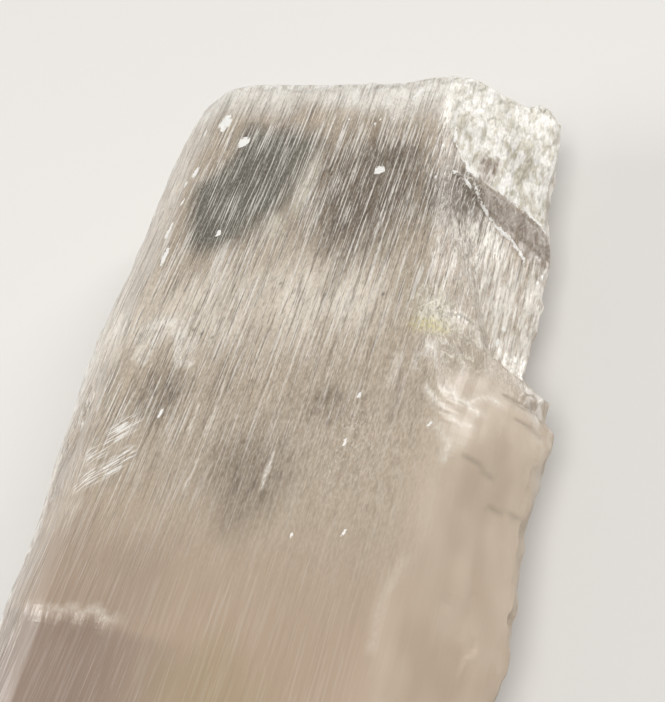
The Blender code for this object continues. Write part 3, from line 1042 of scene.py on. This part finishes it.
# %% [markdown]
# ## Kunzite
#
# The crystal is see-through but hazy: grooves scatter the light on its surface, and clouds inside it
# give it a milky, pinkish beige body. One material does this. It lets a third of the light through, takes
# a little green and blue from it on the way, and the rest comes back in the body colour.

# %% Material helpers
def linear(red, green, blue):
    """A colour for a shader, from its red, green and blue on a screen, each from 0 to 255."""
    channels = np.array((red, green, blue)) / 255.0
    shades = np.where(channels <= 0.04045, channels / 12.92, ((channels + 0.055) / 1.055) ** 2.4)
    return [*shades.tolist(), 1.0]


def node(tree, kind, place=(0, 0), **values):
    """A shader node with its settings and plain input values."""
    made = tree.nodes.new(kind)
    made.location = place
    for name, value in values.items():
        if hasattr(made, name):
            setattr(made, name, value)
        else:
            made.inputs[name.replace("_", " ")].default_value = value
    return made


def scaled(tree, vector, scale):
    """The coordinates, multiplied along each axis."""
    made = node(tree, "ShaderNodeVectorMath", operation="MULTIPLY")
    tree.links.new(vector, made.inputs[0])
    made.inputs[1].default_value = scale
    return made.outputs[0]


def pattern(tree, vector, scale, detail=2.0, roughness=0.5, low=0.0, high=1.0, offset=0.0):
    """Noise that is scaled along each axis, moved by an offset, and stretched from 0 at low to 1 at high."""
    moved = node(tree, "ShaderNodeVectorMath", operation="ADD")
    tree.links.new(scaled(tree, vector, scale), moved.inputs[0])
    moved.inputs[1].default_value = (offset, offset, offset)
    grain = node(tree, "ShaderNodeTexNoise", Detail=detail, Roughness=roughness, Scale=1.0)
    tree.links.new(moved.outputs[0], grain.inputs["Vector"])
    return ranged(tree, grain.outputs["Fac"], low, high)


def ranged(tree, value, low, high, to_low=0.0, to_high=1.0):
    made = node(tree, "ShaderNodeMapRange", clamp=True)
    tree.links.new(value, made.inputs["Value"])
    for name, number in (("From Min", low), ("From Max", high), ("To Min", to_low), ("To Max", to_high)):
        made.inputs[name].default_value = number
    return made.outputs["Result"]


def math_node(tree, operation, first, second):
    made = node(tree, "ShaderNodeMath", operation=operation)
    for socket, value in zip(made.inputs, (first, second)):
        if isinstance(value, (int, float)):
            socket.default_value = value
        else:
            tree.links.new(value, socket)
    return made.outputs[0]


def painted(tree, under, share, colour):
    """The colour under, covered by another colour where the share is 1."""
    made = node(tree, "ShaderNodeMix", data_type="RGBA")
    tree.links.new(share, made.inputs["Factor"])
    tree.links.new(under, made.inputs["A"])
    made.inputs["B"].default_value = colour
    return made.outputs["Result"]


def mask(tree, name):
    return node(tree, "ShaderNodeAttribute", attribute_name=name).outputs["Fac"]


print("mid grey on a screen is", round(linear(128, 128, 128)[0], 3), "to a shader")

# %% [markdown]
# ### Patterns
#
# Grooves run along the crystal, so most patterns are noise that is stretched along Y: thin light lines for
# painted highlights on the grooves, thin dark lines for painted shade in them, broad tones and fibres. A
# few are rounder, such as frost, a grain painted as small highlights and shade, and crumbs.
# Wave patterns would be simpler, but they repeat, and real grooves don't.

# %% The kunzite material and its patterns
PER_MM = 1.0 / MM

kunzite = bpy.data.materials.new("kunzite")
kunzite.use_nodes = True
tree = kunzite.node_tree
shader = tree.nodes["Principled BSDF"]
output = tree.nodes["Material Output"]
coordinates = node(tree, "ShaderNodeTexCoord").outputs["Object"]


def grain(scale_x, scale_y, detail, low, high, offset=0.0):
    """A pattern with scales given in repeats per millimetre across and along the crystal."""
    scale = (scale_x * PER_MM, scale_y * PER_MM, scale_x * PER_MM)
    return pattern(tree, coordinates, scale, detail, 0.55, low, high, offset)


def times(first, second):
    return math_node(tree, "MULTIPLY", first, second)


def plus(first, second):
    return math_node(tree, "ADD", first, second)


def distance(first, second):
    """How far apart two values are."""
    return math_node(tree, "ABSOLUTE", plus(first, -second), 0.0)


blotches = grain(0.14, 0.09, 1.0, 0.35, 0.65)
tone = grain(1.9, 0.08, 1.0, 0.35, 0.65, 41.0)
# Light lines are painted highlights on the grooves, and dark lines are painted shade in them.
groove_highlight_lines = grain(7.5, 0.2, 1.0, 0.54, 0.64)
groove_shade_lines = grain(6.0, 0.2, 1.0, 0.54, 0.66, 37.0)
bold_groove_highlights = grain(5.0, 0.12, 0.0, 0.66, 0.72, 51.0)
fibre_streaks = grain(2.8, 0.4, 1.0, 0.42, 0.58, 5.0)
frost = grain(1.3, 0.55, 2.0, 0.42, 0.58, 61.0)
# A fine grain, painted as small highlights and shade.
etch = grain(6.0, 2.2, 1.0, 0.36, 0.64)
lumpy = grain(1.1, 0.6, 1.0, 0.42, 0.58, 19.0)
mottle = grain(3.4, 0.9, 1.0, 0.54, 0.66, 23.0)
patches = grain(0.32, 0.14, 1.0, 0.4, 0.62, 29.0)
crumble = grain(4.5, 3.2, 2.0, 0.32, 0.68, 13.0)
turned = node(tree, "ShaderNodeVectorRotate", rotation_type="Z_AXIS", Angle=math.radians(46.0))
tree.links.new(coordinates, turned.inputs["Vector"])
splinters = pattern(tree, turned.outputs["Vector"], (7.0 * PER_MM, 0.5 * PER_MM, PER_MM), 1.0, 0.5, 0.5, 0.58)

shelly = plus(mask(tree, "ledge"), mask(tree, "cream_patch"))
light_contours = times(ranged(tree, distance(lumpy, 0.5), 0.3, 0.0), shelly)
dark_contours = times(ranged(tree, distance(frost, 0.5), 0.25, 0.0), shelly)

grooved = mask(tree, "grooves")
grainy = mask(tree, "grain")
print("nodes in the patterns:", len(tree.nodes))

# %% [markdown]
# ### Colours
#
# The colour is laid on as a painter glazes: the body first, then the bands with the window's painted shade,
# the pale rims with their painted light and the broken side, then the painted highlights and shade of the
# grooves and the grain, and last the white chips and the dark marks. Each layer is how much it covers and
# its colour on a screen. One list is easier to change than a tree of hand-placed nodes.

# %% Colours of the body, from the inside out
body = node(tree, "ShaderNodeRGB")
body.outputs[0].default_value = linear(192, 177, 157)
LAYERS_OF_COLOUR = (
    (times(blotches, 0.35), (172, 157, 140)),
    (times(mask(tree, "lower"), 0.85), (183, 160, 137)),
    (times(mask(tree, "khaki"), 0.5), (170, 152, 116)),
    # Painted shade below the growth step and on the lower left prism face.
    (times(mask(tree, "shade"), 0.8), (140, 120, 107)),
    (times(mask(tree, "brown"), 0.9), (112, 100, 85)),
    (times(mask(tree, "cloud"), plus(0.5, times(patches, 0.4))), (246, 236, 220)),
    # Painted shade in the clear window.
    (times(mask(tree, "window_painted_shade"), 0.93), (88, 90, 81)),
    (times(mask(tree, "milk"), 0.7), (228, 222, 204)),
    # Painted light on the left prism face, with darker streaks from the tone.
    (times(mask(tree, "lit_bevel"), plus(0.3, times(tone, 0.6))), (250, 242, 230)),
    (times(mask(tree, "lit_bevel"), times(ranged(tree, tone, 0.4, 0.05), 0.5)), (138, 122, 106)),
    # Painted highlight on the upper end.
    (times(mask(tree, "upper_end_highlight"), plus(0.75, times(lumpy, 0.25))), (255, 252, 244)),
    # Painted highlights on the lumps of the rims, then painted shade between them.
    (times(mask(tree, "rim_light_and_shade"), plus(0.2, times(lumpy, 0.8))), (255, 253, 248)),
    (times(mask(tree, "rim_light_and_shade"), ranged(tree, lumpy, 0.5, 0.0, 0.0, 0.4)), (150, 134, 118)),
    (times(mask(tree, "block"), 0.6), (200, 180, 158)),
    (times(times(mask(tree, "block"), patches), 0.4), (222, 207, 186)),
    (times(mask(tree, "fibrous"), plus(0.2, times(fibre_streaks, 0.8))), (250, 244, 232)),
    (times(mask(tree, "creamy"), 0.85), (200, 195, 176)),
    (times(mask(tree, "creamy"), frost), (254, 252, 246)),
    # Painted shade on the clear facets and the riser.
    (times(mask(tree, "clear"), 0.85), (154, 139, 125)),
    # Painted shade on the slope beside the lower ledge.
    (times(mask(tree, "ledge"), 0.7), (168, 153, 131)),
    (times(mask(tree, "cream_patch"), plus(0.4, times(etch, 0.6))), (250, 246, 224)),
    (times(times(dark_contours, crumble), 0.8), (122, 108, 90)),
    (times(times(light_contours, crumble), 0.8), (250, 244, 228)),
    (times(mask(tree, "stain"), crumble), (230, 218, 142)),
    (times(mask(tree, "wisps"), plus(times(crumble, 0.55), 0.45)), (252, 246, 235)),
    (times(times(ranged(tree, tone, 0.5, 0.0), grooved), 0.25), (118, 105, 90)),
    # Painted shade in the grooves, then painted highlights on them.
    (times(times(groove_shade_lines, grooved), 0.6), (88, 76, 65)),
    (times(times(groove_highlight_lines, grooved), 0.6), (255, 250, 241)),
    (times(times(bold_groove_highlights, grooved), 0.6), (255, 252, 246)),
    # The grain painted as small patches of shade, then of highlight.
    (times(times(ranged(tree, etch, 0.5, 0.0), grainy), 0.18), (112, 98, 84)),
    (times(times(ranged(tree, etch, 0.5, 1.0), grainy), 0.14), (255, 250, 240)),
    (times(times(mottle, grainy), plus(0.2, times(mask(tree, "brown"), 0.4))), (84, 72, 60)),
    (times(mask(tree, "crumbs"), ranged(tree, crumble, 0.7, 0.84)), (255, 252, 244)),
    (times(mask(tree, "feather"), times(splinters, plus(0.75, times(crumble, 0.25)))), (255, 253, 248)),
    (ranged(tree, plus(mask(tree, "chips"), times(crumble, 0.5)), 0.6, 0.75), (255, 254, 250)),
    (times(mask(tree, "dark"), 0.8), (84, 74, 64)),
)
colour = body.outputs[0]
for share, (red, green, blue) in LAYERS_OF_COLOUR:
    colour = painted(tree, colour, share, linear(red, green, blue))
tree.links.new(colour, shader.inputs["Base Color"])
print("layers of colour:", len(LAYERS_OF_COLOUR))

# %% [markdown]
# ### Gloss, relief and transparency
#
# Spodumene bends light more than glass does, with an index of 1.66. Its clean faces are glossy, and its
# broken ones are duller. Only the finest grooves and the faint lumps of the pale places are a bump,
# because they are a few hundredths of a millimetre high, too fine for the mesh. Absorption is in the
# volume, so thick places are warmer than thin ones.

# %% Gloss, relief and transparency
BUMP_HEIGHT = 0.03
SPODUMENE_IOR = 1.66
LIGHT_LET_THROUGH = 0.34
ABSORPTION_DENSITY = 12.0

roughness = plus(ranged(tree, blotches, 0.0, 1.0, 0.3, 0.42), times(mask(tree, "creamy"), 0.15))
roughness = plus(roughness, times(mask(tree, "block"), 0.15))
roughness = plus(roughness, times(mask(tree, "ledge"), 0.25))
tree.links.new(plus(roughness, times(mask(tree, "chips"), 0.2)), shader.inputs["Roughness"])

relief = times(plus(groove_highlight_lines, times(groove_shade_lines, -1.0)), grooved)
relief = plus(relief, times(times(lumpy, plus(mask(tree, "rim_light_and_shade"), mask(tree, "creamy"))), 2.0))
bump = node(tree, "ShaderNodeBump", Strength=1.0, Distance=BUMP_HEIGHT * MM)
tree.links.new(relief, bump.inputs["Height"])
tree.links.new(bump.outputs["Normal"], shader.inputs["Normal"])

shader.inputs["IOR"].default_value = SPODUMENE_IOR
shader.inputs["Transmission Weight"].default_value = LIGHT_LET_THROUGH
absorption = node(tree, "ShaderNodeVolumeAbsorption", Color=linear(240, 220, 212), Density=ABSORPTION_DENSITY)
tree.links.new(absorption.outputs["Volume"], output.inputs["Volume"])
crystal.data.materials.append(kunzite)
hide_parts("crystal")
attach(crystal, "root")
print("material:", kunzite.name, "with", len(tree.nodes), "nodes")

# %% [markdown]
# ## Floor, light and camera
#
# A pale floor and large soft lights keep the look plain. One light is above, and two lower ones rake
# across the grooves from the left and from behind.

# %% Floor and lights
FLOOR_SIZE = 4.0
FLOOR_GAP = 0.3
WORLD_STRENGTH = 0.35
WARM_WHITE = (255, 253, 250)
LIGHTS = (
    ("top_light", (0.10, -0.30, 0.72), 0.5, 5.4),
    ("left_light", (-0.74, -0.14, 0.28), 0.35, 4.0),
    ("back_light", (0.34, 0.70, 0.30), 0.35, 4.5),
)

scene = bpy.context.scene
bpy.ops.mesh.primitive_plane_add(size=FLOOR_SIZE)
floor = bpy.context.object
floor.name = "floor"
paper = bpy.data.materials.new("pale_paper")
paper.use_nodes = True
paper_shader = paper.node_tree.nodes["Principled BSDF"]
paper_shader.inputs["Base Color"].default_value = linear(205, 203, 200)
paper_shader.inputs["Roughness"].default_value = 0.9
paper_shader.inputs["Specular IOR Level"].default_value = 0.1
floor.data.materials.append(paper)
floor.location.z = -FLOOR_GAP * MM

world = bpy.data.worlds.new("soft_room")
scene.world = world
world.use_nodes = True
sky = world.node_tree.nodes["Background"]
sky.inputs["Color"].default_value = linear(225, 228, 232)
sky.inputs["Strength"].default_value = WORLD_STRENGTH
scene.view_settings.view_transform = "Standard"


def soft_light(name, place, size, power, colour):
    """A square lamp that shines at the crystal, in metres and watts."""
    lamp = bpy.data.lights.new(name, "AREA")
    lamp.shape = "SQUARE"
    lamp.size = size
    lamp.energy = power
    lamp.color = linear(*colour)[:3]
    holder = bpy.data.objects.new(name, lamp)
    scene.collection.objects.link(holder)
    holder.location = place
    holder.rotation_euler = (Vector((0, 0, 0)) - Vector(place)).to_track_quat("-Z", "Y").to_euler()


for name, place_of_light, size, power in LIGHTS:
    soft_light(name, place_of_light, size, power, WARM_WHITE)
    print(name, "gives", power, "W from", place_of_light)

# %% [markdown]
# ## Camera
#
# The camera looks down at the front from the lower right, from 87 mm away, so the near edges look much
# larger than the far ones. It is rolled, so that the blade leans in the picture. Depth of field stays off.

# %% Camera
AZIMUTH, ELEVATION, ROLL = map(math.radians, (36.7, 52.1, 25.0))
AIM = Vector((6.0, 11.8, THICKNESS)) * MM
DISTANCE = 87.0 * MM
FOCAL_LENGTH_PX = 1000.0
IMAGE_HEIGHT_PX = 702.0

toward_camera = Vector(
    (
        math.sin(AZIMUTH) * math.cos(ELEVATION),
        -math.cos(AZIMUTH) * math.cos(ELEVATION),
        math.sin(ELEVATION),
    )
)
camera_data = bpy.data.cameras.new("camera")
camera = bpy.data.objects.new("camera", camera_data)
scene.collection.objects.link(camera)
camera_data.lens = FOCAL_LENGTH_PX * camera_data.sensor_width / IMAGE_HEIGHT_PX
camera_data.clip_start = 0.005
turn = toward_camera.to_track_quat("Z", "Y").to_matrix().to_4x4() @ Matrix.Rotation(-ROLL, 4, "Z")
camera.matrix_world = Matrix.Translation(AIM + toward_camera * DISTANCE) @ turn
scene.camera = camera
print("camera at", [round(value, 4) for value in camera.matrix_world.translation])
